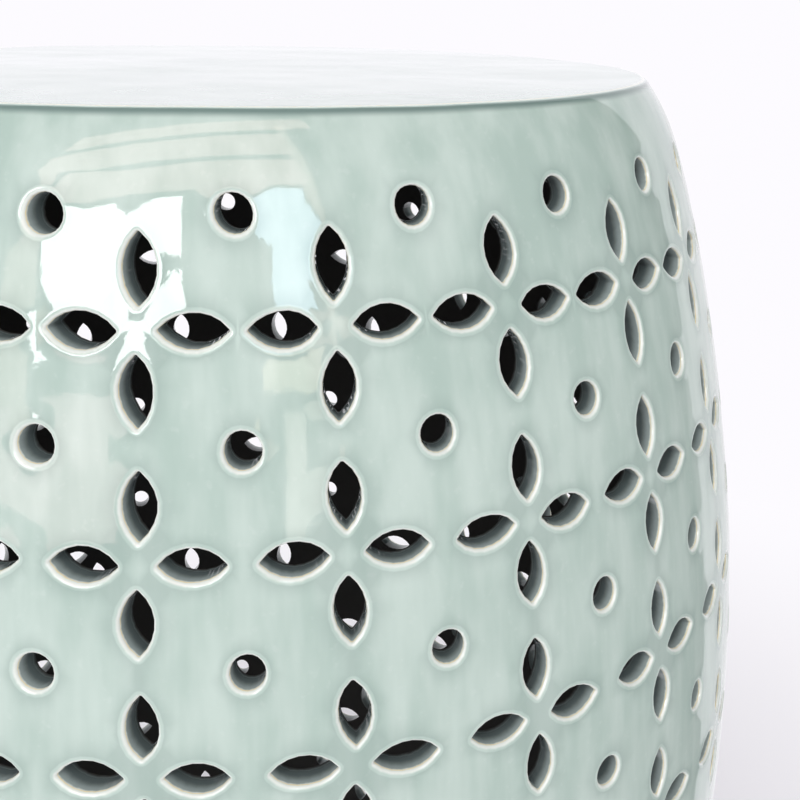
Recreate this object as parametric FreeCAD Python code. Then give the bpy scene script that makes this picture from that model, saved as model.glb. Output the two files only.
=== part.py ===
import FreeCAD, Part
import math
import os

# Ceramic garden stool: a closed drum of pierced, glazed stoneware standing on rubber floor pads.
# Millimetres, +Z up, origin on the floor under the middle of the stool.

# Whole stool
stool_height = 457.0
belly_height = 234.5
belly_diameter = 355.0
side_curve_radius = 644.0

# Barrel
wall_thickness = 7.0

# Seat and the shoulder below it, where the side turns in more tightly
seat_thickness = 9.0
shoulder_drop = 21.0
shoulder_radius = 65.0
rim_radius = 3.0
inside_corner_radius = 3.0
luting_land = 1.0

# Foot
foot_height = 22.0
foot_thickness = 14.0
foot_bevel = 1.5

# Floor pads
pad_count = 4
pad_thickness = 2.0
pad_inset = 0.5

# Pierced flowers, four pointed petals round a solid middle, with a round hole between the flowers
flower_spacing = 50.5
side_petal_reach = 12.2
upright_petal_reach = 12.9
petal_length = 15.5
petal_width = 7.8
round_hole_diameter = 8.5
seam_margin = 3.0
piercing_overrun = 6.0
sewing_reach = 0.001

# Places worked out from the sizes above
belly_radius = belly_diameter / 2.0
curve_centre_x = belly_radius - side_curve_radius
shoulder_height = stool_height - shoulder_drop
shoulder_tilt = math.asin((shoulder_height - belly_height) / side_curve_radius)
shoulder_centre_x = curve_centre_x + (side_curve_radius - shoulder_radius) * math.cos(shoulder_tilt)
shoulder_centre_z = belly_height + (side_curve_radius - shoulder_radius) * math.sin(shoulder_tilt)
foot_bottom = pad_thickness
foot_top = foot_bottom + foot_height
seat_underside = stool_height - seat_thickness
seat_joint = seat_underside - inside_corner_radius - luting_land
piercing_length = wall_thickness + 2.0 * piercing_overrun
columns = round(2.0 * math.pi * belly_radius / flower_spacing)
column_step = 2.0 * math.pi / columns


def turning_height(depth):
    """Height where the side's long curve runs into the shoulder, at a depth below the outer face."""
    return belly_height + (side_curve_radius - depth) * math.sin(shoulder_tilt)


def side_radius(z, depth=0.0):
    """Radius of the side at height z, at a depth below the outer face of the wall."""
    if z > turning_height(depth):
        return shoulder_centre_x + math.sqrt((shoulder_radius - depth) ** 2 - (z - shoulder_centre_z) ** 2)
    return curve_centre_x + math.sqrt((side_curve_radius - depth) ** 2 - (z - belly_height) ** 2)


def point(x, z):
    """A point of a turned profile: x from the stool's axis, z above the floor."""
    return FreeCAD.Vector(x, 0.0, z)


def side_edges(z_low, z_high, depth=0.0):
    """The side's outline between two heights: one arc, or two where it runs into the shoulder."""
    stops = [z_low, z_high]
    if z_low < turning_height(depth) < z_high:
        stops.insert(1, turning_height(depth))
    edges = []
    for z_from, z_to in zip(stops, stops[1:]):
        through = [point(side_radius(z, depth), z) for z in (z_from, (z_from + z_to) / 2.0, z_to)]
        edges.append(Part.Arc(*through).toShape())
    return edges


def corner_edge(ceiling, depth, radius):
    """A rounded corner from the shoulder to a level face, with the height where it starts and its end."""
    z = ceiling - radius
    rise = z - shoulder_centre_z
    run = math.sqrt((shoulder_radius - depth - radius) ** 2 - rise ** 2)
    x = shoulder_centre_x + run
    tilt = math.atan2(rise, run)
    halfway = (tilt + math.pi / 2.0) / 2.0
    start = point(x + radius * math.cos(tilt), z + radius * math.sin(tilt))
    middle = point(x + radius * math.cos(halfway), z + radius * math.sin(halfway))
    end = point(x, ceiling)
    return Part.Arc(start, middle, end).toShape(), start.z, x


def turned(edges, angle=2.0 * math.pi, start=0.0):
    """A solid turned about the stool's axis from a closed profile, from one azimuth through an angle."""
    axis = FreeCAD.Vector(0, 0, 1)
    face = Part.Face(Part.Wire(Part.__sortEdges__(edges)))
    face.rotate(point(0, 0), axis, math.degrees(start))
    return face.revolve(point(0, 0), axis, math.degrees(angle))


def line(x0, z0, x1, z1):
    return Part.makeLine(point(x0, z0), point(x1, z1))


def seat_top():
    """The closed flat seat with the upper part of the shoulder, down to the joint with the barrel."""
    rim, rim_start, flat_radius = corner_edge(stool_height, 0.0, rim_radius)
    inside, inside_start, ceiling_radius = corner_edge(
        seat_underside, wall_thickness, inside_corner_radius
    )
    return turned([
        *side_edges(seat_joint, rim_start),
        rim,
        line(flat_radius, stool_height, 0, stool_height),
        line(0, stool_height, 0, seat_underside),
        line(0, seat_underside, ceiling_radius, seat_underside),
        inside,
        *side_edges(seat_joint, inside_start, wall_thickness),
        line(side_radius(seat_joint, wall_thickness), seat_joint, side_radius(seat_joint), seat_joint),
    ])


def plain_slice(z_low, z_high):
    """One column's width of the barrel's wall between two level joints, centred on +X."""
    edges = [
        *side_edges(z_low, z_high),
        line(side_radius(z_high), z_high, side_radius(z_high, wall_thickness), z_high),
        *side_edges(z_low, z_high, wall_thickness),
        line(side_radius(z_low, wall_thickness), z_low, side_radius(z_low), z_low),
    ]
    return turned(edges, column_step, -column_step / 2.0)


def petal_outline(upright):
    """A pointed petal, two equal arcs, drawn round the origin in the plane across +X."""
    half_length = petal_length / 2.0
    half_width = petal_width / 2.0
    if upright:
        tips = [(0.0, -half_length), (0.0, half_length)]
        sides = [(half_width, 0.0), (-half_width, 0.0)]
    else:
        tips = [(-half_length, 0.0), (half_length, 0.0)]
        sides = [(0.0, half_width), (0.0, -half_width)]
    first, last = (FreeCAD.Vector(0, y, z) for y, z in tips)
    arcs = [Part.Arc(first, FreeCAD.Vector(0, y, z), last).toShape() for y, z in sides]
    return Part.Face(Part.Wire(arcs))


def set_in_wall(cutter, azimuth, z):
    """Carry a cutter that lies along +X to a height and turn it to its place round the barrel."""
    placed = cutter.copy()
    start = side_radius(z, wall_thickness) - piercing_overrun
    placed.translate(FreeCAD.Vector(start, 0, z))
    placed.rotate(FreeCAD.Vector(0, 0, 0), FreeCAD.Vector(0, 0, 1), math.degrees(azimuth))
    return placed


def fits(z, half_height, z_low, z_high):
    """Does a hole at this height clear the joints at the two ends of the pierced stretch?"""
    return z - half_height > z_low + seam_margin and z + half_height < z_high - seam_margin


def row_heights(offset, half_height):
    """Heights of like rows, counted up and down from the belly, as far as the barrel has room."""
    reach = math.ceil(stool_height / flower_spacing)
    rows = [belly_height + (k + offset) * flower_spacing for k in range(-reach, reach)]
    return [z for z in rows if fits(z, half_height, foot_top, seat_joint)]


def flower_cutters(z):
    """The four petals of one flower in the middle of the slice."""
    along = FreeCAD.Vector(piercing_length, 0, 0)
    upright = petal_outline(True).extrude(along)
    sideways = petal_outline(False).extrude(along)
    swing = side_petal_reach / side_radius(z)
    return [
        set_in_wall(upright, 0.0, z + upright_petal_reach),
        set_in_wall(upright, 0.0, z - upright_petal_reach),
        set_in_wall(sideways, swing, z),
        set_in_wall(sideways, -swing, z),
    ]


def round_cutters(z):
    """The round holes on the two edges of the slice, which the next slices share."""
    origin = FreeCAD.Vector(0, 0, 0)
    drill = Part.makeCylinder(
        round_hole_diameter / 2.0, piercing_length, origin, FreeCAD.Vector(1, 0, 0)
    )
    return [set_in_wall(drill, side * column_step / 2.0, z) for side in (-1, 1)]


def pierced_slice(z_low, z_high):
    """One column's width of the wall with every hole that reaches into it."""
    flower_half = upright_petal_reach + petal_length / 2.0
    hole_half = round_hole_diameter / 2.0
    cutters = []
    for z in row_heights(0.5, flower_half):
        if z_low < z < z_high:
            cutters += flower_cutters(z)
    for z in row_heights(0.0, hole_half):
        if z_low - hole_half < z < z_high + hole_half:
            cutters += round_cutters(z)
    return plain_slice(z_low, z_high).cut(cutters)


def pierced_skin(z_low, z_high):
    """The faces of one slice: curved sides as splines, hole walls and level ends, but not its cut sides."""
    skin = []
    for face in pierced_slice(z_low, z_high).Faces:
        surface = face.Surface
        upright = isinstance(surface, Part.Plane) and abs(surface.Axis.z) < math.cos(math.radians(45))
        if isinstance(surface, Part.SurfaceOfRevolution):
            skin.append(face.toNurbs())
        elif not upright:
            skin.append(face)
    return Part.makeCompound(skin)


def pierced_barrel(z_low, z_high):
    """A stretch of the barrel, the same slice all the way round with a flower column at the front."""
    column = pierced_skin(z_low, z_high)
    turns = [math.degrees(k * column_step) - 90.0 for k in range(columns)]
    origin = FreeCAD.Vector(0, 0, 0)
    axis = FreeCAD.Vector(0, 0, 1)
    barrel = Part.makeCompound([column.rotated(origin, axis, turn) for turn in turns])
    barrel.sewShape(sewing_reach)
    return Part.Solid(barrel)


def foot_ring():
    """The thick plain band at the bottom, level below and open in the middle."""
    outer = side_radius(foot_bottom)
    inner = outer - foot_thickness
    bevel_top = foot_bottom + foot_bevel
    return turned([
        *side_edges(bevel_top, foot_top),
        line(side_radius(foot_top), foot_top, inner, foot_top),
        line(inner, foot_top, inner, bevel_top),
        line(inner, bevel_top, inner + foot_bevel, foot_bottom),
        line(inner + foot_bevel, foot_bottom, outer - foot_bevel, foot_bottom),
        line(outer - foot_bevel, foot_bottom, side_radius(bevel_top), bevel_top),
    ])


def floor_pad(k):
    """A rubber disc stuck under the foot, in the middle of its standing face."""
    standing_face = foot_thickness - 2.0 * foot_bevel
    radius = standing_face / 2.0 - pad_inset
    centre = side_radius(foot_bottom) - foot_thickness / 2.0
    azimuth = (k + 0.5) * 2.0 * math.pi / pad_count
    place = FreeCAD.Vector(centre * math.cos(azimuth), centre * math.sin(azimuth), 0)
    return Part.makeCylinder(radius, pad_thickness, place)


nodes = {
    "seat_top": seat_top(),
    "upper_barrel": pierced_barrel(belly_height, seat_joint),
    "lower_barrel": pierced_barrel(foot_top, belly_height),
    "foot_ring": foot_ring(),
}
for k in range(pad_count):
    nodes[f"floor_pad_{k + 1}"] = floor_pad(k)

os.makedirs("parts", exist_ok=True)
for name, shape in nodes.items():
    shape.exportStep(f"parts/{name}.step")
    print(name, len(shape.Solids), shape.isValid(), round(shape.Volume / 1000.0, 2), "cm3")
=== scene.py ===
import math
import bpy
import numpy as np
from mathutils import Matrix, Vector, geometry


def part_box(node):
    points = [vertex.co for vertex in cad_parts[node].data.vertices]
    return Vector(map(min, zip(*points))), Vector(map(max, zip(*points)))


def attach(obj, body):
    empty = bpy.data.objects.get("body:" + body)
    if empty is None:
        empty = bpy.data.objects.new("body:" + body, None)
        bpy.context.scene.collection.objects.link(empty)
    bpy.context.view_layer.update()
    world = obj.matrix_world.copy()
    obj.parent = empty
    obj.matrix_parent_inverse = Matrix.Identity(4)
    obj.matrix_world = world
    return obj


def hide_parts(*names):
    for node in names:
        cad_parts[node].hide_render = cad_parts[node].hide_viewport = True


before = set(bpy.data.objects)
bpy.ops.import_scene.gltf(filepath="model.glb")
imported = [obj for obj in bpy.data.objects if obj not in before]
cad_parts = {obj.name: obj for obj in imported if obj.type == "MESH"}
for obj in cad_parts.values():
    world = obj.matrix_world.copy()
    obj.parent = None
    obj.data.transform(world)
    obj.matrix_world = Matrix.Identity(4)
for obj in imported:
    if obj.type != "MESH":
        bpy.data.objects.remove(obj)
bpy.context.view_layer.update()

mm = 0.001

# Camera
# Close to the upper right of the stool, a little above the seat and looking down at it.
# Lengths are in metres and angles in radians.
camera_reach = 0.4069
camera_rise = 0.0265
camera_azimuth = 0.1404
camera_yaw = 0.0026
camera_pitch = 0.3350
camera_roll = 0.0160
focal_pixels = 1199.7
frame_pixels = 800
sensor_millimetres = 36.0
nearest_seen = 0.01

stool_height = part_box("seat_top")[1].z
camera = bpy.data.objects.new("camera", bpy.data.cameras.new("camera"))
camera.data.sensor_width = sensor_millimetres
camera.data.lens = focal_pixels / frame_pixels * sensor_millimetres
camera.data.clip_start = nearest_seen
turn = Matrix.Rotation(-camera_yaw, 4, "Z") @ Matrix.Rotation(math.pi / 2 - camera_pitch, 4, "X")
spot = Vector((
    camera_reach * math.sin(camera_azimuth),
    -camera_reach * math.cos(camera_azimuth),
    stool_height + camera_rise,
))
camera.matrix_world = Matrix.Translation(spot) @ turn @ Matrix.Rotation(camera_roll, 4, "Z")
bpy.context.scene.collection.objects.link(camera)
bpy.context.scene.camera = camera

# Pierced barrel
# A drum of stoneware in two thrown halves, luted together at the belly with slip.
# While the clay is leather-hard each hole is cut through by hand with a knife or a tube,
# so no two flowers are quite alike, and the glaze then softens every cut edge.
upper_low, upper_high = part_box("upper_barrel")
seat_joint = upper_high.z
belly_height = upper_low.z
foot_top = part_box("lower_barrel")[0].z
belly_radius = 177.5 * mm
curve_radius = 644.0 * mm
curve_centre = belly_radius - curve_radius
shoulder_radius = 65.0 * mm
shoulder_drop = 21.0 * mm
shoulder_height = stool_height - shoulder_drop
shoulder_tilt = math.asin((shoulder_height - belly_height) / curve_radius)
shoulder_centre_x = curve_centre + (curve_radius - shoulder_radius) * math.cos(shoulder_tilt)
shoulder_centre_z = belly_height + (curve_radius - shoulder_radius) * math.sin(shoulder_tilt)
wall = 7.0 * mm

flower_spacing = 50.5 * mm
columns = round(2 * math.pi * belly_radius / flower_spacing)
column_width = 2 * math.pi * belly_radius / columns
side_petal_reach = 12.2 * mm
upright_petal_reach = 12.9 * mm
petal_length = 15.5 * mm
petal_width = 7.8 * mm
petal_tip_round = 0.5 * mm
hole_diameter = 8.5 * mm
top_row_drop = 1.2 * mm
rows_each_way = 4

# Half a petal's length and width before its tips are rounded, and the radius of its two sides.
petal_half_long = petal_length / 2 - petal_tip_round
petal_half_wide = petal_width / 2 - petal_tip_round
petal_sweep = (petal_half_long ** 2 + petal_half_wide ** 2) / (2 * petal_half_wide)

# The hand's wander: how far a cut strays, over what length, how much it leans through the wall, and
# the strip beside a joint where it comes to rest. Then the swell of thrown clay: ripples a metre and
# their height.
knife_wander = 1.5 * mm
wander_size = 24.0 * mm
wander_seed = 3.0
knife_lean = 0.24
calm_strip = 7.0 * mm
clay_waves = [(17.0, 0.8 * mm), (46.0, 0.24 * mm)]

# How finely the clay is drawn. The steps round a hole are a multiple of four, so that one falls
# just where the belly's joint crosses it. Rows of points lie about a triangle's height apart.
steps_per_petal_side = 8
steps_per_petal_tip = 3
steps_per_hole = 20
clay_grain = 5.0 * mm
edge_steps = 10
first_row_up = 0.8 * clay_grain
row_pitch = 0.87 * clay_grain
row_beside_joint = 0.5 * mm
clear_of_hole = 1.9 * mm
clear_of_joint = 2.2 * mm
clear_of_side = 2.0 * mm
clear_of_corner = 1.0 * mm
joint_slack = 1.0 * mm
tiny = 1e-9
weld = 1e-7
seam_weld = 0.01 * mm
sharp_angle = math.radians(50.0)

# How the glaze and clay run from the outer face over a cut edge and through the wall: distance
# out from the cut, depth below the outer face, and how thin the glaze has drawn. Below zero it
# has pooled.
edge_rings = [
    (1.60 * mm, 0.0, -0.35),
    (1.20 * mm, -0.035 * mm, -0.05),
    (0.80 * mm, 0.0, 0.25),
    (0.45 * mm, 0.15 * mm, 0.55),
    (0.18 * mm, 0.42 * mm, 0.75),
    (0.02 * mm, 0.90 * mm, 1.00),
    (0.0, 1.30 * mm, 0.60),
    (0.0, wall, 0.0),
]


def side_radius(z, depth=0.0):
    """Radius of the side at a height, at a depth below its outer face: a long curve, then the shoulder."""
    rise = z - belly_height
    long_curve = curve_centre + np.sqrt((curve_radius - depth) ** 2 - rise ** 2)
    room = np.maximum((shoulder_radius - depth) ** 2 - (z - shoulder_centre_z) ** 2, 0.0)
    on_shoulder = rise > (curve_radius - depth) * math.sin(shoulder_tilt)
    return np.where(on_shoulder, shoulder_centre_x + np.sqrt(room), long_curve)


def petal_cut(upright):
    """Points round one petal before its tips are rounded, each with the direction out of the cut."""
    reach = math.asin(petal_half_long / petal_sweep)
    far_side = [(petal_sweep * math.sin(a), petal_sweep * math.cos(a) - petal_sweep + petal_half_wide,
                 math.sin(a), math.cos(a))
                for a in np.linspace(-reach, reach, steps_per_petal_side)]
    tip = [(petal_half_long, 0.0, math.sin(a), math.cos(a))
           for a in np.linspace(reach, math.pi - reach, steps_per_petal_tip + 2)[1:-1]]
    near_side = [(x, -z, out_x, -out_z) for x, z, out_x, out_z in far_side]
    far_tip = [(-x, z, -out_x, out_z) for x, z, out_x, out_z in tip]
    points = near_side + tip[::-1] + far_side[::-1] + far_tip
    if upright:
        points = [(-z, x, -out_z, out_x) for x, z, out_x, out_z in points]
    return points


def petal_gap(x, z, upright):
    """Distance from points to a petal's cut edge."""
    along, across = (abs(z), abs(x)) if upright else (abs(x), abs(z))
    from_centre = across + petal_sweep - petal_half_wide
    past_tip = along * (petal_sweep - petal_half_wide) > petal_half_long * from_centre
    to_tip = np.hypot(along - petal_half_long, across)
    to_side = np.hypot(along, from_centre) - petal_sweep
    return np.where(past_tip, to_tip, to_side) - petal_tip_round


def flower_rows(z_low, z_high):
    """Heights of the flowers' middles between two joints."""
    rows = [belly_height + (k + 0.5) * flower_spacing for k in range(-rows_each_way, rows_each_way)]
    return [z for z in rows if z_low < z < z_high]


def hole_rows(z_low, z_high):
    """Heights of the round holes; the top row is cut a little low, clear of the shoulder's joint."""
    rows = [belly_height + k * flower_spacing for k in range(-rows_each_way, rows_each_way + 1)]
    rows[-1] -= top_row_drop
    return [z for z in rows if z_low - joint_slack < z < z_high + joint_slack]


def column_petals(z_low, z_high):
    """Centre offset, height and direction of every petal in one column."""
    petals = []
    for z in flower_rows(z_low, z_high):
        petals.append((0.0, z + upright_petal_reach, True))
        petals.append((0.0, z - upright_petal_reach, True))
        petals.append((side_petal_reach, z, False))
        petals.append((-side_petal_reach, z, False))
    return petals


def spread(z):
    """How much wider a real width is drawn at a height, where the flat column is as wide as at the belly."""
    return belly_radius / side_radius(z)


def hole_gap(u, z, petals, rows):
    """Distance from points of the flat column to the nearest cut edge, the next columns' holes included."""
    nearest = np.full(np.shape(u), np.inf)
    for column in (-1, 0, 1):
        x = (u - column * column_width) / spread(z)
        for px, pz, upright in petals:
            nearest = np.minimum(nearest, petal_gap(x - px, z - pz, upright))
        x = (u - (column + 0.5) * column_width) / spread(z)
        for row in rows:
            nearest = np.minimum(nearest, np.hypot(x, z - row) - hole_diameter / 2)
    return nearest


def note_glaze(mesh, depths, thins):
    """Writes each point's depth below the outer face, and how thin its glaze has drawn, on the mesh."""
    for label, values in (("depth", depths), ("glaze_thin", thins)):
        layer = mesh.attributes.new(label, "FLOAT", "POINT")
        layer.data.foreach_set("value", np.array(values, np.float32))


def flat_column(name, z_low, z_high):
    """One column of the pattern as a flat slab of clay with every hole cut through it.

    It is as wide as a column is at the belly, its outer face looks along -Y and its thickness runs along +Y.
    """
    petals = column_petals(z_low, z_high)
    rows = hole_rows(z_low, z_high)
    half = column_width / 2
    verts = []
    depths = []
    thins = []
    sheet = []
    outer = []
    inner = []
    faces = []
    creases = []
    contour_of = []

    def vertex(u, z, depth, thin=0.0):
        verts.append((u, depth, z))
        depths.append(depth)
        thins.append(thin)
        return len(verts) - 1

    def sheet_point(u, z, pair=None, contour=-1):
        sheet.append(Vector((u, z)))
        outer.append(pair[0] if pair else vertex(u, z, 0.0))
        inner.append(pair[1] if pair else vertex(u, z, wall))
        contour_of.append(contour)
        return len(sheet) - 1

    def cut_hole(number, centre_u, centre_z, points, closed):
        """Rings of vertices through the wall; gives back their first points on the sheet, and the spokes."""
        spokes = []
        ends = []
        for x, z, out_x, out_z in points:
            spoke = []
            for out, depth, thin in edge_rings:
                px = x + out * out_x
                pz = centre_z + z + out * out_z
                spoke.append(vertex(centre_u + px * spread(pz), pz, depth, thin))
            spokes.append(spoke)
            rim = verts[spoke[0]]
            ends.append(sheet_point(rim[0], rim[2], (spoke[0], spoke[-1]), number))
        count = len(points)
        for a in range(count if closed else count - 1):
            b = (a + 1) % count
            creases.append((ends[a], ends[b]))
            for ring in range(len(edge_rings) - 1):
                faces.append((spokes[a][ring], spokes[b][ring], spokes[b][ring + 1], spokes[a][ring + 1]))
        return ends, spokes

    number = 0
    for px, pz, upright in petals:
        rounded = [(x + petal_tip_round * ox, z + petal_tip_round * oz, ox, oz)
                   for x, z, ox, oz in petal_cut(upright)]
        shifted = [(x + px, z, ox, oz) for x, z, ox, oz in rounded]
        cut_hole(number, 0.0, pz, shifted, True)
        number += 1

    border = {"left": [], "right": []}
    corner_spokes = {}
    for side, first in (("left", -math.pi / 2), ("right", math.pi / 2)):
        for row in rows:
            at_low = row < z_low + joint_slack
            at_high = row > z_high - joint_slack
            angles = [first + k * 2 * math.pi / steps_per_hole for k in range(steps_per_hole // 2 + 1)]
            if at_low:
                angles = [a for a in angles if math.sin(a) > -tiny]
            if at_high:
                angles = [a for a in angles if math.sin(a) < tiny]
            r = hole_diameter / 2
            points = [(r * math.cos(a), r * math.sin(a), math.cos(a), math.sin(a)) for a in angles]
            points = [(0.0 if abs(x) < tiny else x, 0.0 if abs(z) < tiny else z, ox, oz)
                      for x, z, ox, oz in points]
            centre = -half if side == "left" else half
            ends, spokes = cut_hole(number, centre, row, points, False)
            number += 1
            if side == "right":
                ends = ends[::-1]
                spokes = spokes[::-1]
            if at_low:
                corner_spokes[side, "low"] = (ends[0], spokes[0])
                border[side].append((None, ends[-1]))
            elif at_high:
                corner_spokes[side, "high"] = (ends[-1], spokes[-1])
                border[side].append((ends[0], None))
            else:
                border[side].append((ends[0], ends[-1]))

    corners = {}
    for side in ("left", "right"):
        u = -half if side == "left" else half
        for level, z in (("low", z_low), ("high", z_high)):
            if (side, level) not in corner_spokes:
                corners[side, level] = sheet_point(u, z)
        stops = border[side]
        runs = []
        below = corners.get((side, "low"))
        for start, end in stops:
            if start is not None and below is not None:
                runs.append((below, start))
            below = end
        if below is not None:
            runs.append((below, corners[side, "high"]))
        for start, end in runs:
            z0 = sheet[start].y
            z1 = sheet[end].y
            steps = math.ceil((z1 - z0) / clay_grain)
            heights = [z0 + (z1 - z0) * k / steps for k in range(1, steps)]
            if (side, "low") in corners and start == corners[side, "low"]:
                heights.insert(0, z_low + row_beside_joint)
            if (side, "high") in corners and end == corners[side, "high"]:
                heights.append(z_high - row_beside_joint)
            chain = [start] + [sheet_point(u, z) for z in heights] + [end]
            creases.extend(zip(chain, chain[1:]))

    for level, z, beside in (("low", z_low, row_beside_joint), ("high", z_high, -row_beside_joint)):
        ends = [corner_spokes[side, level][0] if (side, level) in corner_spokes else corners[side, level]
                for side in ("left", "right")]
        marks = [-half + column_width * k / edge_steps for k in range(1, edge_steps)]
        low_u = sheet[ends[0]].x + clear_of_corner
        high_u = sheet[ends[1]].x - clear_of_corner
        marks = [u for u in marks if low_u < u < high_u]
        chain = [ends[0]] + [sheet_point(u, z) for u in marks] + [ends[1]]
        creases.extend(zip(chain, chain[1:]))
        for u in marks:
            sheet_point(u, z + beside)
        for k, (a, b) in enumerate(zip(chain, chain[1:])):
            loop = [outer[a], outer[b], inner[b], inner[a]]
            if k == 0 and ("left", level) in corner_spokes:
                loop += corner_spokes["left", level][1][-2:0:-1]
            if k == len(chain) - 2 and ("right", level) in corner_spokes:
                spoke = corner_spokes["right", level][1]
                loop = [outer[a], outer[b]] + spoke[1:-1] + [inner[b], inner[a]]
            faces.append(tuple(loop[::-1] if level == "low" else loop))

    levels = np.arange(z_low + first_row_up, z_high - clear_of_joint, row_pitch)
    grid = []
    for n, z in enumerate(levels):
        stagger = 0.5 * (n % 2)
        grid += [(-half + column_width * (k + stagger) / edge_steps, z) for k in range(1, edge_steps)]
    grid_u, grid_z = np.array(grid).T
    clear = hole_gap(grid_u, grid_z, petals, rows) > edge_rings[0][0] + clear_of_hole
    for u, z in zip(grid_u[clear], grid_z[clear]):
        if half - u > clear_of_side:
            sheet_point(u, z)

    _, _, triangles, originals, _, _ = geometry.delaunay_2d_cdt(sheet, creases, [], 0, weld)
    index = [group[0] for group in originals]
    for triangle in triangles:
        a, b, c = (index[v] for v in triangle)
        if contour_of[a] >= 0 and contour_of[a] == contour_of[b] == contour_of[c]:
            continue
        faces.append((outer[a], outer[b], outer[c]))
        faces.append((inner[c], inner[b], inner[a]))

    mesh = bpy.data.meshes.new(name)
    mesh.from_pydata(verts, [], faces)
    note_glaze(mesh, depths, thins)
    return mesh


class Tree:
    """A node tree being built: each call adds one node, feeds its inputs and gives back an output."""

    def __init__(self, tree):
        self.tree = tree

    def feed(self, node, feeds):
        for name, value in feeds.items():
            if isinstance(name, int):
                socket = node.inputs[name]
            else:
                socket = next(s for s in node.inputs if s.enabled and s.name == name)
            if isinstance(value, bpy.types.NodeSocket):
                self.tree.links.new(value, socket)
            else:
                socket.default_value = value
        return node

    def add(self, kind, feeds=None, out=0, **settings):
        node = self.tree.nodes.new(kind)
        for name, value in settings.items():
            setattr(node, name, value)
        self.feed(node, feeds or {})
        outputs = [s for s in node.outputs if s.enabled]
        return outputs[out] if isinstance(out, int) else next(s for s in outputs if s.name == out)

    def end(self, kind, feeds):
        self.feed(self.tree.nodes.new(kind), feeds)

    def math(self, operation, *values):
        return self.add("ShaderNodeMath", dict(enumerate(values)), operation=operation)

    def vector(self, operation, *values, out=0):
        return self.add("ShaderNodeVectorMath", dict(enumerate(values)), out, operation=operation)

    def ramp(self, value, low, high, to_low=0.0, to_high=1.0):
        feeds = {"Value": value, "From Min": low, "From Max": high, "To Min": to_low, "To Max": to_high}
        return self.add("ShaderNodeMapRange", feeds, interpolation_type="SMOOTHSTEP")


def blank_material(name):
    """A new material with an empty node tree, and that tree."""
    material = bpy.data.materials.new(name)
    material.use_nodes = True
    material.node_tree.nodes.clear()
    return material, Tree(material.node_tree)


def node_group(name, inputs, outputs):
    """An empty geometry node group with named inputs and outputs, and those inputs by name."""
    group = bpy.data.node_groups.new(name, "GeometryNodeTree")
    for label, kind in inputs.items():
        group.interface.new_socket(label, in_out="INPUT", socket_type="NodeSocket" + kind)
    for label, kind in outputs.items():
        group.interface.new_socket(label, in_out="OUTPUT", socket_type="NodeSocket" + kind)
    entry = group.nodes.new("NodeGroupInput")
    return Tree(group), {label: entry.outputs[label] for label in inputs}


def clay_wave():
    """Thrown clay is never truly round: its wall swells and sinks by fractions of a millimetre."""
    tree, given = node_group("clay_wave", {"Place": "Vector"}, {"Swell": "Float"})
    total = 0.0
    for ripples_per_metre, swell in clay_waves:
        noise = tree.add("ShaderNodeTexNoise", {
            "Vector": given["Place"], "Scale": ripples_per_metre, "Detail": 0.0,
        })
        total = tree.math("MULTIPLY_ADD", tree.math("SUBTRACT", noise, 0.5), swell, total)
    tree.end("NodeGroupOutput", {"Swell": total})
    return tree.tree


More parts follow.
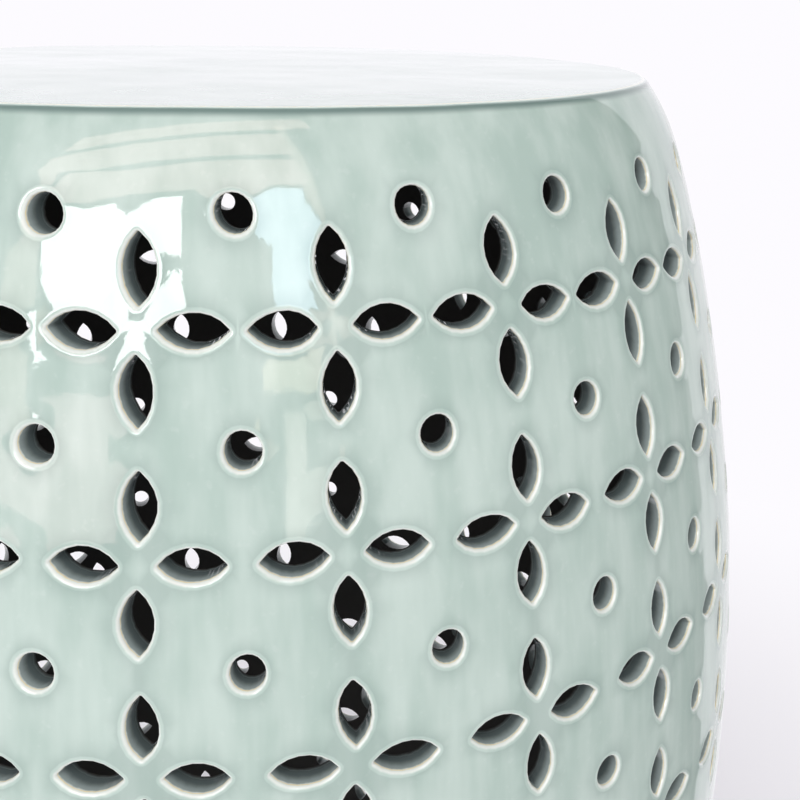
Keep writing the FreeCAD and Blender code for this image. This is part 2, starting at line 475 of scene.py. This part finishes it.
def barrel_tree(wave):
    """Sets the flat column side by side, bends the row into the drum and lets the knife wander."""
    tree, given = node_group("pierced_barrel", {
        "Flat Column": "Geometry", "Columns": "Int", "Column Width": "Float", "Belly Radius": "Float",
        "Belly Height": "Float", "Side Curve Radius": "Float", "Shoulder Tilt": "Float",
        "Shoulder Radius": "Float", "Shoulder Centre X": "Float", "Shoulder Centre Z": "Float",
        "Lower Joint": "Float", "Upper Joint": "Float", "Knife Wander": "Float", "Wander Size": "Float",
        "Knife Lean": "Float", "Seed": "Float", "Glaze": "Material",
    }, {"Barrel": "Geometry"})

    def arc_at(reach, rise, centre_x):
        room = tree.math("SUBTRACT", tree.math("POWER", reach, 2.0), tree.math("POWER", rise, 2.0))
        return tree.math("ADD", centre_x, tree.math("SQRT", tree.math("MAXIMUM", room, 0.0)))

    def radius_at(z, depth):
        reach = tree.math("SUBTRACT", given["Side Curve Radius"], depth)
        rise = tree.math("SUBTRACT", z, given["Belly Height"])
        centre = tree.math("SUBTRACT", given["Belly Radius"], given["Side Curve Radius"])
        long_curve = arc_at(reach, rise, centre)
        shoulder_reach = tree.math("SUBTRACT", given["Shoulder Radius"], depth)
        shoulder_rise = tree.math("SUBTRACT", z, given["Shoulder Centre Z"])
        shoulder = arc_at(shoulder_reach, shoulder_rise, given["Shoulder Centre X"])
        turning = tree.math("MULTIPLY", reach, tree.math("SINE", given["Shoulder Tilt"]))
        on_shoulder = tree.math("GREATER_THAN", rise, turning)
        return tree.add("ShaderNodeMix", {"Factor": on_shoulder, "A": long_curve, "B": shoulder})

    def place_at(angle, radius, z):
        x = tree.math("MULTIPLY", radius, tree.math("SINE", angle))
        y = tree.math("MULTIPLY", radius, tree.math("COSINE", angle))
        return tree.add("ShaderNodeCombineXYZ", {"X": x, "Y": tree.math("MULTIPLY", y, -1.0), "Z": z})

    step = tree.add("ShaderNodeCombineXYZ", {"X": given["Column Width"]})
    row = tree.add("GeometryNodeMeshLine", {"Count": given["Columns"], "Offset": step})
    columns_in_row = tree.add("GeometryNodeInstanceOnPoints", {
        "Points": row, "Instance": given["Flat Column"],
    })
    drum = tree.add("GeometryNodeRealizeInstances", {"Geometry": columns_in_row})

    flat = tree.add("GeometryNodeInputPosition")
    u, depth, z = (tree.add("ShaderNodeSeparateXYZ", {"Vector": flat}, axis) for axis in (0, 1, 2))
    angle = tree.math("DIVIDE", u, given["Belly Radius"])
    radius = radius_at(z, 0.0)
    untouched = place_at(angle, radius, z)
    grain = tree.math("DIVIDE", 1.0, given["Wander Size"])
    noise = tree.add("ShaderNodeTexNoise", {
        "Vector": untouched, "W": given["Seed"], "Scale": grain, "Detail": 1.0, "Roughness": 0.35,
    }, "Color", noise_dimensions="4D")
    from_low = tree.math("SUBTRACT", z, given["Lower Joint"])
    from_high = tree.math("SUBTRACT", given["Upper Joint"], z)
    freedom = tree.ramp(tree.math("MINIMUM", from_low, from_high), 0.0, calm_strip)
    reach = tree.math("MULTIPLY", freedom, tree.math("MULTIPLY", given["Knife Wander"], 2.0))
    pushes = (tree.add("ShaderNodeSeparateXYZ", {"Vector": noise}, axis) for axis in (0, 1))
    aside, rise = (tree.math("MULTIPLY", reach, tree.math("SUBTRACT", push, 0.5)) for push in pushes)
    aside = tree.math("MULTIPLY_ADD", given["Knife Lean"], depth, aside)
    angle = tree.math("ADD", angle, tree.math("DIVIDE", aside, radius))
    z = tree.math("ADD", z, rise)
    outer_place = place_at(angle, radius_at(z, 0.0), z)
    swell = tree.add("GeometryNodeGroup", {"Place": outer_place}, node_tree=wave)
    place = place_at(angle, tree.math("ADD", radius_at(z, depth), swell), z)
    drum = tree.add("GeometryNodeSetPosition", {"Geometry": drum, "Position": place})
    drum = tree.add("GeometryNodeMergeByDistance", {"Geometry": drum, "Distance": seam_weld})
    drum = tree.add("GeometryNodeSetMaterial", {"Geometry": drum, "Material": given["Glaze"]})
    tree.end("NodeGroupOutput", {"Barrel": drum})
    return tree.tree


def grown(name, mesh, group, sizes):
    """A plain mesh object made by running a geometry node tree on a mesh."""
    start = bpy.data.objects.new(name + "_start", mesh)
    bpy.context.scene.collection.objects.link(start)
    modifier = start.modifiers.new("grow", "NODES")
    modifier.node_group = group
    sockets = {s.name: s.identifier for s in group.interface.items_tree if s.in_out == "INPUT"}
    for label, value in sizes.items():
        modifier[sockets[label]] = value
    result = start.evaluated_get(bpy.context.evaluated_depsgraph_get())
    piece = bpy.data.objects.new(name, bpy.data.meshes.new_from_object(result))
    piece.data.shade_smooth()
    piece.data.set_sharp_from_angle(angle=sharp_angle)
    bpy.data.objects.remove(start)
    bpy.context.scene.collection.objects.link(piece)
    return piece


deep_celadon = (0.412, 0.520, 0.466)
pale_celadon = (0.545, 0.642, 0.588)
fleck_white = (0.66, 0.72, 0.68)
pooled_celadon = (0.18, 0.25, 0.23)
thin_white = (0.78, 0.81, 0.76)
edge_cream = (0.84, 0.75, 0.46)
# The grey on the hole walls is partly a darker glaze and partly painted shade; the deep hole colour is
# painted shade deeper in the holes.
hole_wall_glaze_and_shade = (0.36, 0.42, 0.41)
deep_hole_painted_shade = (0.13, 0.16, 0.16)
# Painted shade: the inside faces of the drum, seat and foot are coloured near black, as they lie in shade.
inside_painted_shade = (0.020, 0.019, 0.016)
glaze_roughness = 0.03
bare_roughness = 0.7
glaze_ior = 1.55

# Patterns in the glaze, in ripples a metre, with their strength or height. Runs are drawn out
# downwards. The skin's ripples settle on the flat top.
runs_per_metre = 110.0
run_squash = 0.12
run_share = 0.6
clouds_per_metre = 26.0
cloud_share = 0.4
flecks_per_metre = 420.0
fleck_strength = 0.15
raggedness_per_metre = 700.0
ragged_thinning = 0.20
ragged_depths = 0.6 * mm
peel_per_metre = 160.0
peel_height = 0.022 * mm
pores_per_metre = 1100.0
pore_height = 0.0035 * mm
settled_share = 0.15

# Where each colour begins and where it is full: by shade, by how thin the glaze has drawn, by depth
# below the outer face, and by height for the settled skin.
shade_range = (0.33, 0.67)
fleck_range = (0.60, 0.75)
pooled_range = (0.0, -1.0)
thin_white_range = (0.10, 0.70)
edge_cream_range = (0.84, 1.0)
# Painted shade: the hole walls turn grey and then dark deeper in, where shade falls.
hole_wall_glaze_and_shade_range = (0.9 * mm, 1.5 * mm)
deep_hole_shade_range = (1.5 * mm, 4.5 * mm)
# Painted shade: from here to the inner face the colour goes near black.
inside_painted_shade_range = (wall - 1.2 * mm, wall)
bare_range = (wall - 1.6 * mm, wall - 0.6 * mm)
settled_range = (stool_height - 3.0 * mm, stool_height - mm)


def celadon_glaze():
    """A glossy grey-green glaze: streaked where it ran, white and then cream where it has drawn thin over a
    cut edge, darker where it pooled, and grey on the walls of the holes, partly a darker glaze and partly
    painted shade that darkens deeper in. Inside the wall it is painted near black as shade. It levels out on
    the flat top."""
    material, tree = blank_material("celadon_glaze")

    def blend(amount, first, second):
        feeds = {"Factor": amount}
        for name, colour in (("A", first), ("B", second)):
            feeds[name] = (*colour, 1.0) if isinstance(colour, tuple) else colour
        return tree.add("ShaderNodeMix", feeds, data_type="RGBA")

    def noise(place, scale, detail=2.0, roughness=0.5):
        return tree.add("ShaderNodeTexNoise", {
            "Vector": place, "Scale": scale, "Detail": detail, "Roughness": roughness,
        })

    place = tree.add("ShaderNodeTexCoord", out="Object")
    depth = tree.add("ShaderNodeAttribute", out="Fac", attribute_name="depth")
    thin = tree.add("ShaderNodeAttribute", out="Fac", attribute_name="glaze_thin")
    run_down = tree.add("ShaderNodeMapping", {"Vector": place, "Scale": (1.0, 1.0, run_squash)})
    runs = tree.math("MULTIPLY", noise(run_down, runs_per_metre, 3.0), run_share)
    clouds = tree.math("MULTIPLY", noise(place, clouds_per_metre, 4.0), cloud_share)
    shade = tree.math("ADD", runs, clouds)
    body = blend(tree.ramp(shade, *shade_range), deep_celadon, pale_celadon)
    flecks = tree.ramp(noise(place, flecks_per_metre, 3.0), *fleck_range, 0.0, fleck_strength)
    body = blend(flecks, body, fleck_white)
    body = blend(tree.ramp(thin, *pooled_range), body, pooled_celadon)

    ragged = tree.math("SUBTRACT", noise(place, raggedness_per_metre), 0.5)
    thinning = tree.math("MULTIPLY_ADD", ragged, ragged_thinning, thin)
    colour = blend(tree.ramp(thinning, *thin_white_range), body, thin_white)
    colour = blend(tree.ramp(thinning, *edge_cream_range), colour, edge_cream)
    ragged_depth = tree.math("MULTIPLY_ADD", ragged, ragged_depths, depth)
    # Painted shade in the holes: the walls go grey and then dark with depth, partly a darker glaze.
    colour = blend(tree.ramp(ragged_depth, *hole_wall_glaze_and_shade_range), colour, hole_wall_glaze_and_shade)
    colour = blend(tree.ramp(ragged_depth, *deep_hole_shade_range), colour, deep_hole_painted_shade)
    # Painted shade: near black on the inside faces.
    colour = blend(tree.ramp(ragged_depth, *inside_painted_shade_range), colour, inside_painted_shade)

    bare = tree.ramp(ragged_depth, *bare_range)
    roughness = tree.add("ShaderNodeMix", {"Factor": bare, "A": glaze_roughness, "B": bare_roughness})
    peel = tree.math("MULTIPLY", noise(place, peel_per_metre, 1.0, 0.4), peel_height)
    pores = tree.math("MULTIPLY_ADD", noise(place, pores_per_metre, 1.0), pore_height, peel)
    height = tree.add("ShaderNodeSeparateXYZ", {"Vector": place}, 2)
    settled = tree.ramp(height, *settled_range, 1.0, settled_share)
    skin = tree.math("MULTIPLY", pores, settled)
    bump = tree.add("ShaderNodeBump", {"Strength": 1.0, "Distance": 1.0, "Height": skin})
    shader = tree.add("ShaderNodeBsdfPrincipled", {
        "Base Color": colour, "Roughness": roughness, "Normal": bump, "IOR": glaze_ior,
    })
    tree.end("ShaderNodeOutputMaterial", {"Surface": shader})
    return material


glaze = celadon_glaze()
wave = clay_wave()
barrel_group = barrel_tree(wave)
for name, node, z_low, z_high in (
    ("glazed_upper_barrel", "upper_barrel", belly_height, seat_joint),
    ("glazed_lower_barrel", "lower_barrel", foot_top, belly_height),
):
    half_barrel = grown(name, flat_column(name, z_low, z_high), barrel_group, {
        "Columns": columns, "Column Width": column_width, "Belly Radius": belly_radius,
        "Belly Height": belly_height, "Side Curve Radius": curve_radius, "Shoulder Tilt": shoulder_tilt,
        "Shoulder Radius": shoulder_radius, "Shoulder Centre X": shoulder_centre_x,
        "Shoulder Centre Z": shoulder_centre_z, "Lower Joint": foot_top, "Upper Joint": seat_joint,
        "Knife Wander": knife_wander, "Wander Size": wander_size, "Knife Lean": knife_lean,
        "Seed": wander_seed, "Glaze": glaze,
    })
    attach(half_barrel, "root")
    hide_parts(node)

# Seat
# The closed top with the upper part of the shoulder, thrown flat and luted on while leather-hard,
# so it runs into the drum without a seam. The glaze draws thin on its rim and pools just below.
seat_thickness = 9.0 * mm
rim_radius = 3.0 * mm
inside_corner_radius = 3.0 * mm
segments = columns * edge_steps
shoulder_steps = 8
top_steps = 26
ceiling_steps = 10
corner_steps = 5
second_row_up = 2.0 * mm
clear_of_rim = 1.5 * mm

# How thin the glaze has drawn at each step over the rim, from the side up to the flat.
rim_thins = [-0.8, -1.0, -1.0, -0.8, -0.3, 0.4, 0.9, 0.9, 0.4, 0.0]


def turned(name, profile):
    """A closed mesh turned about the stool's axis from points (x, z, depth, how thin the glaze is)."""
    verts = []
    depths = []
    thins = []
    faces = []
    rings = []
    for x, z, depth, thin in profile:
        angles = [0.0] if x < weld else [k * 2 * math.pi / segments for k in range(segments)]
        rings.append(range(len(verts), len(verts) + len(angles)))
        verts += [(x * math.sin(a), -x * math.cos(a), z) for a in angles]
        depths += [depth] * len(angles)
        thins += [thin] * len(angles)
    for here, there in zip(rings, rings[1:] + rings[:1]):
        for k in range(segments):
            corners = [here[k % len(here)], here[(k + 1) % len(here)],
                       there[(k + 1) % len(there)], there[k % len(there)]]
            face = [v for m, v in enumerate(corners) if v not in corners[:m]]
            if len(face) > 2:
                faces.append(face)
    mesh = bpy.data.meshes.new(name)
    mesh.from_pydata(verts, [], faces)
    note_glaze(mesh, depths, thins)
    return mesh


def corner(ceiling, depth, radius):
    """Centre of a rounded corner between the shoulder and a level face, and the tilt where it starts."""
    rise = ceiling - radius - shoulder_centre_z
    run = math.sqrt((shoulder_radius - depth - radius) ** 2 - rise ** 2)
    return shoulder_centre_x + run, ceiling - radius, math.atan2(rise, run)


def arc(x, z, radius, tilts, depth, thins):
    """Profile points round part of a circle, one to each tilt."""
    return [(x + radius * math.cos(a), z + radius * math.sin(a), depth, thin)
            for a, thin in zip(tilts, thins)]


def seat_profile():
    """The seat's outline from the joint up over the shoulder to the axis, and back underneath."""
    rim_x, rim_z, rim_tilt = corner(stool_height, 0.0, rim_radius)
    underside = stool_height - seat_thickness
    inner_x, inner_z, inner_tilt = corner(underside, wall, inside_corner_radius)
    rim_start = rim_z + rim_radius * math.sin(rim_tilt)
    heights = [seat_joint, seat_joint + row_beside_joint]
    heights += list(np.linspace(seat_joint + second_row_up, rim_start, shoulder_steps)[:-1])
    shoulder = [(float(side_radius(z)), z, 0.0, 0.0) for z in heights]
    rim_tilts = np.linspace(rim_tilt, math.pi / 2, len(rim_thins))
    rim = arc(rim_x, rim_z, rim_radius, rim_tilts, 0.0, rim_thins)
    top = [(x, stool_height, 0.0, 0.0) for x in np.linspace(rim_x - clear_of_rim, 0.0, top_steps)]
    # The underside and the inner face lie at the wall's depth, so they are painted near black as shade.
    ceiling = [(x, underside, wall, 0.0) for x in np.linspace(0.0, inner_x, ceiling_steps)[:-1]]
    inner_tilts = np.linspace(math.pi / 2, inner_tilt, corner_steps)
    inside = arc(inner_x, inner_z, inside_corner_radius, inner_tilts, wall, [0.0] * corner_steps)
    joint = (float(side_radius(seat_joint, wall)), seat_joint, wall, 0.0)
    return shoulder + rim + top + ceiling + inside + [joint]


def turned_tree(wave):
    """Gives a turned piece the same swelling as the drum, outwards at the side and upwards on top."""
    tree, given = node_group("thrown_skin", {
        "Turned Clay": "Geometry", "Side Up To": "Float", "Top From": "Float", "Glaze": "Material",
    }, {"Skin": "Geometry"})
    place = tree.add("GeometryNodeInputPosition")
    flat = tree.vector("MULTIPLY", place, (1.0, 1.0, 0.0))
    outward = tree.vector("NORMALIZE", flat)
    depth = tree.add("GeometryNodeInputNamedAttribute", {"Name": "depth"}, data_type="FLOAT")
    outer_place = tree.vector("MULTIPLY_ADD", outward, depth, place)
    swell = tree.add("GeometryNodeGroup", {"Place": outer_place}, node_tree=wave)
    z = tree.add("ShaderNodeSeparateXYZ", {"Vector": place}, 2)
    on_top = tree.add("ShaderNodeMapRange", {
        "Value": z, "From Min": given["Side Up To"], "From Max": given["Top From"],
    }, interpolation_type="SMOOTHSTEP")
    up = (0.0, 0.0, 1.0)
    way = tree.add("ShaderNodeMix", {"Factor": on_top, "A": outward, "B": up}, data_type="VECTOR")
    offset = tree.add("ShaderNodeVectorMath", {"Vector": way, "Scale": swell}, operation="SCALE")
    skin = tree.add("GeometryNodeSetPosition", {"Geometry": given["Turned Clay"], "Offset": offset})
    skin = tree.add("GeometryNodeSetMaterial", {"Geometry": skin, "Material": given["Glaze"]})
    tree.end("NodeGroupOutput", {"Skin": skin})
    return tree.tree


skin_group = turned_tree(wave)
seat = grown("glazed_seat", turned("glazed_seat", seat_profile()), skin_group, {
    "Side Up To": seat_joint + mm, "Top From": stool_height, "Glaze": glaze,
})
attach(seat, "root")
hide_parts("seat_top")

# Foot
# A thick plain band of stoneware luted under the drum, with its edges rounded off. It is glazed
# outside and below, and left bare inside like the drum; inside, its colour is painted near black as shade.
foot_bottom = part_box("foot_ring")[0].z
foot_thickness = 14.0 * mm
foot_bevel = 1.5 * mm
foot_steps = 5
clear_of_bevel = 1.0 * mm
clear_of_foot_top = 4.0 * mm


def foot_profile():
    """The foot's outline up its inner face from the standing face, and down its outer face."""
    outer = float(side_radius(foot_bottom))
    inner = outer - foot_thickness
    bevel_top = foot_bottom + foot_bevel
    lowest = bevel_top + clear_of_bevel
    quarter = np.linspace(0.0, math.pi / 2, corner_steps)
    even = [0.0] * corner_steps
    inner_round = arc(inner + foot_bevel, bevel_top, foot_bevel, -math.pi / 2 - quarter, 0.0, even)
    inside = [(inner, z, wall, 0.0) for z in np.linspace(lowest, foot_top, foot_steps)]
    heights = [foot_top, foot_top - row_beside_joint]
    heights += list(np.linspace(foot_top - clear_of_foot_top, lowest, foot_steps))
    outside = [(float(side_radius(z)), z, 0.0, 0.0) for z in heights]
    outer_round = arc(outer - foot_bevel, bevel_top, foot_bevel, -quarter, 0.0, even)
    return outer_round[::-1] + outside[::-1] + inside[::-1] + inner_round[::-1]


foot = grown("glazed_foot", turned("glazed_foot", foot_profile()), skin_group, {
    "Side Up To": stool_height, "Top From": 2 * stool_height, "Glaze": glaze,
})
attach(foot, "root")
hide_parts("foot_ring")

# Floor pads
# Four grey rubber discs glued to the middle of the foot's standing face, so that the stool doesn't
# rock or scratch the floor. Their solids are shown as they are.
rubber_grey = (0.22, 0.21, 0.20, 1.0)
scuffed_grey = (0.40, 0.39, 0.37, 1.0)
rubber_roughness = 0.75
scuffs_per_metre = 600.0
scuff_height = 0.1 * mm
scuff_strength = 0.3


def pad_rubber():
    """Matt grey rubber, scuffed lighter in small patches."""
    material, tree = blank_material("pad_rubber")
    place = tree.add("ShaderNodeTexCoord", out="Object")
    scuffs = tree.add("ShaderNodeTexNoise", {"Vector": place, "Scale": scuffs_per_metre, "Detail": 4.0})
    colour = tree.add("ShaderNodeMix", {
        "Factor": scuffs, "A": rubber_grey, "B": scuffed_grey,
    }, data_type="RGBA")
    bump = tree.add("ShaderNodeBump", {
        "Strength": scuff_strength, "Distance": scuff_height, "Height": scuffs,
    })
    shader = tree.add("ShaderNodeBsdfPrincipled", {
        "Base Color": colour, "Roughness": rubber_roughness, "Normal": bump,
    })
    tree.end("ShaderNodeOutputMaterial", {"Surface": shader})
    return material


rubber = pad_rubber()
for name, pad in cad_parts.items():
    if name.startswith("floor_pad"):
        pad.material_slots[0].material = rubber

# Floor
# A plain white sheet that runs back without an edge. It keeps the stool's shadow; further off it is
# plain white. In front and to the right the sheet ends, so the glaze mirrors a darker floor there.
paper = (0.93, 0.90, 0.94, 1.0)
backdrop_white = (0.98, 0.965, 1.0, 1.0)
bare_floor = (0.30, 0.31, 0.31, 1.0)
sheet_edge_slope = 0.78
sheet_edge_place = -0.190
sheet_edge_blur = 0.004
shadow_range = (0.15, 0.80)
floor_reach = 60.0

floor_mesh = bpy.data.meshes.new("floor")
floor_corners = [(x * floor_reach, y * floor_reach, 0.0) for x, y in ((-1, -1), (1, -1), (1, 1), (-1, 1))]
floor_mesh.from_pydata(floor_corners, [], [(0, 1, 2, 3)])
floor = bpy.data.objects.new("floor", floor_mesh)
bpy.context.scene.collection.objects.link(floor)


def floor_sheet():
    """The sheet as the camera and the light meet it, and a plain likeness of it that the glaze mirrors."""
    material, tree = blank_material("floor_sheet")
    place = tree.add("ShaderNodeTexCoord", out="Object")
    ray = tree.tree.nodes.new("ShaderNodeLightPath").outputs
    far = tree.ramp(tree.vector("LENGTH", place, out="Value"), *shadow_range)
    near = tree.add("ShaderNodeBsdfDiffuse", {"Color": paper})
    white = tree.add("ShaderNodeEmission", {"Color": backdrop_white, "Strength": 1.0})
    seen_far = tree.math("MULTIPLY", far, ray["Is Camera Ray"])
    seen = tree.add("ShaderNodeMixShader", {0: seen_far, 1: near, 2: white})
    past_edge = tree.vector("DOT_PRODUCT", place, (-sheet_edge_slope, 1.0, 0.0), out="Value")
    on_sheet = tree.ramp(past_edge, sheet_edge_place - sheet_edge_blur, sheet_edge_place + sheet_edge_blur)
    colour = tree.add("ShaderNodeMix", {
        "Factor": on_sheet, "A": bare_floor, "B": backdrop_white,
    }, data_type="RGBA")
    mirrored = tree.add("ShaderNodeEmission", {"Color": colour, "Strength": 1.0})
    glimpse = tree.math("MAXIMUM", ray["Is Glossy Ray"], ray["Is Transmission Ray"])
    surface = tree.add("ShaderNodeMixShader", {0: glimpse, 1: seen, 2: mirrored})
    tree.end("ShaderNodeOutputMaterial", {"Surface": surface})
    return material


floor_mesh.materials.append(floor_sheet())

# Light
# A bright room: even light from all round, a white backdrop behind the stool that the glaze mirrors,
# and in front to the left a tall window with its blind half down, which the glaze mirrors too.
soft_level = (0.68, 0.68, 0.69, 1.0)
room_grey = (0.34, 0.35, 0.35, 1.0)
dark_corner = (0.0, 0.0, 0.0, 1.0)
backdrop_side = (0.90, 0.89, 0.93, 1.0)
backdrop_middle_white = (1.10, 1.08, 1.13, 1.0)
dark_ceiling = (0.06, 0.06, 0.06, 1.0)
backdrop_azimuth = math.radians(190.3)
backdrop_half_width = math.radians(59.8)
backdrop_top = math.radians(58.0)
side_softness = 0.004
top_softness = 0.01
dark_corner_range = (-0.10, 0.42)
dark_ceiling_range = (0.55, 0.85)
backdrop_middle_range = (0.55, 0.95)

world = bpy.data.worlds.new("room")
bpy.context.scene.world = world
world.use_nodes = True
world.node_tree.nodes.clear()
tree = Tree(world.node_tree)
way = tree.add("ShaderNodeTexCoord", out="Generated")
height = tree.add("ShaderNodeSeparateXYZ", {"Vector": way}, 2)
level_way = tree.vector("NORMALIZE", tree.vector("MULTIPLY", way, (1.0, 1.0, 0.0)))
backdrop_middle = (math.sin(backdrop_azimuth), -math.cos(backdrop_azimuth), 0.0)
backward = tree.vector("DOT_PRODUCT", level_way, backdrop_middle, out="Value")
edge = math.cos(backdrop_half_width)
beside = tree.ramp(backward, *dark_corner_range)
room = tree.add("ShaderNodeMix", {"Factor": beside, "A": room_grey, "B": dark_corner}, data_type="RGBA")
overhead = tree.ramp(height, *dark_ceiling_range)
room = tree.add("ShaderNodeMix", {"Factor": overhead, "A": room, "B": dark_ceiling}, data_type="RGBA")
across = tree.ramp(backward, edge - side_softness, edge + side_softness)
top = math.sin(backdrop_top)
below_top = tree.ramp(height, top + top_softness, top - top_softness)
backdrop = tree.add("ShaderNodeMix", {
    "Factor": tree.ramp(backward, *backdrop_middle_range), "A": backdrop_side, "B": backdrop_middle_white,
}, data_type="RGBA")
mirrored = tree.add("ShaderNodeMix", {
    "Factor": tree.math("MULTIPLY", across, below_top), "A": room, "B": backdrop,
}, data_type="RGBA")
ray = tree.tree.nodes.new("ShaderNodeLightPath").outputs
glimpse = tree.math("MAXIMUM", ray["Is Glossy Ray"], ray["Is Transmission Ray"])
soft = tree.add("ShaderNodeMix", {
    "Factor": ray["Is Camera Ray"], "A": soft_level, "B": backdrop_white,
}, data_type="RGBA")
seen = tree.add("ShaderNodeMix", {"Factor": glimpse, "A": soft, "B": mirrored}, data_type="RGBA")
tree.end("ShaderNodeOutputWorld", {"Surface": tree.add("ShaderNodeBackground", {"Color": seen})})

# Each pane, slat and strip of frame: its reach along the window and above the seat's height, in
# window distances, and its brightness, where plain white is 1. Only the glaze's mirror shows them.
window_distance = 6.0
window_azimuth = math.radians(17.0)
slat_glow = (2.4, 1.65, 1.5)
frame_glow = (1.5, 1.1, 0.9)
window_parts = [
    ("left_pane", (-1.20, -0.37), (0.27, 0.66), (8.5, 8.5, 8.5)),
    ("right_pane", (0.0, 0.17), (0.32, 0.68), (3.1, 4.1, 4.9)),
    ("low_pane", (-0.07, 0.17), (0.17, 0.26), (2.6, 2.2, 1.6)),
    ("low_slat", (-1.60, 0.20), (0.71, 1.10), slat_glow),
    ("middle_slat", (-1.60, 0.20), (1.20, 1.72), slat_glow),
    ("high_slat", (-1.50, 0.40), (1.85, 2.30), slat_glow),
    ("right_frame", (0.18, 0.24), (0.10, 2.00), frame_glow),
    ("left_frame", (-1.60, -1.25), (0.20, 0.70), frame_glow),
    ("curtain", (-1.60, -0.68), (-0.09, 0.20), (2.0, 1.4, 1.4)),
    ("door_gap", (0.0, 0.07), (-0.05, 0.14), (1.6, 1.4, 1.2)),
]
# A lamp's energy over its area that makes it as bright as plain white.
white_energy = 4.0
into_window = Vector((math.sin(window_azimuth), -math.cos(window_azimuth), 0.0))
along_window = Vector((math.cos(window_azimuth), math.sin(window_azimuth), 0.0))
for name, across, up, glow in window_parts:
    lamp = bpy.data.lights.new(name, "AREA")
    lamp.shape = "RECTANGLE"
    lamp.size = window_distance * (across[1] - across[0])
    lamp.size_y = window_distance * (up[1] - up[0])
    brightness = max(glow)
    lamp.color = [c / brightness for c in glow]
    lamp.energy = white_energy * brightness * lamp.size * lamp.size_y
    part = bpy.data.objects.new(name, lamp)
    middle = into_window + along_window * sum(across) / 2 + Vector((0.0, 0.0, sum(up) / 2))
    part.location = Vector((0.0, 0.0, stool_height)) + window_distance * middle
    part.rotation_euler = into_window.to_track_quat("Z", "Y").to_euler()
    part.visible_camera = False
    part.visible_diffuse = False
    bpy.context.scene.collection.objects.link(part)

# The same window's light, softened: one broad lamp that shapes the stool without showing in the glaze.
soft_lamp_size = 3.0
soft_lamp_distance = 4.0
soft_lamp_azimuth = math.radians(-12.0)
soft_lamp_elevation = math.radians(35.0)
soft_lamp_brightness = 2.3
lamp = bpy.data.lights.new("soft_lamp", "AREA")
lamp.size = soft_lamp_size
lamp.energy = white_energy * soft_lamp_brightness * soft_lamp_size ** 2
toward_lamp = Vector((
    math.sin(soft_lamp_azimuth) * math.cos(soft_lamp_elevation),
    -math.cos(soft_lamp_azimuth) * math.cos(soft_lamp_elevation),
    math.sin(soft_lamp_elevation),
))
soft_lamp = bpy.data.objects.new("soft_lamp", lamp)
soft_lamp.location = soft_lamp_distance * toward_lamp
soft_lamp.rotation_euler = toward_lamp.to_track_quat("Z", "Y").to_euler()
soft_lamp.visible_camera = False
soft_lamp.visible_glossy = False
bpy.context.scene.collection.objects.link(soft_lamp)

bpy.context.scene.view_settings.view_transform = "Standard"
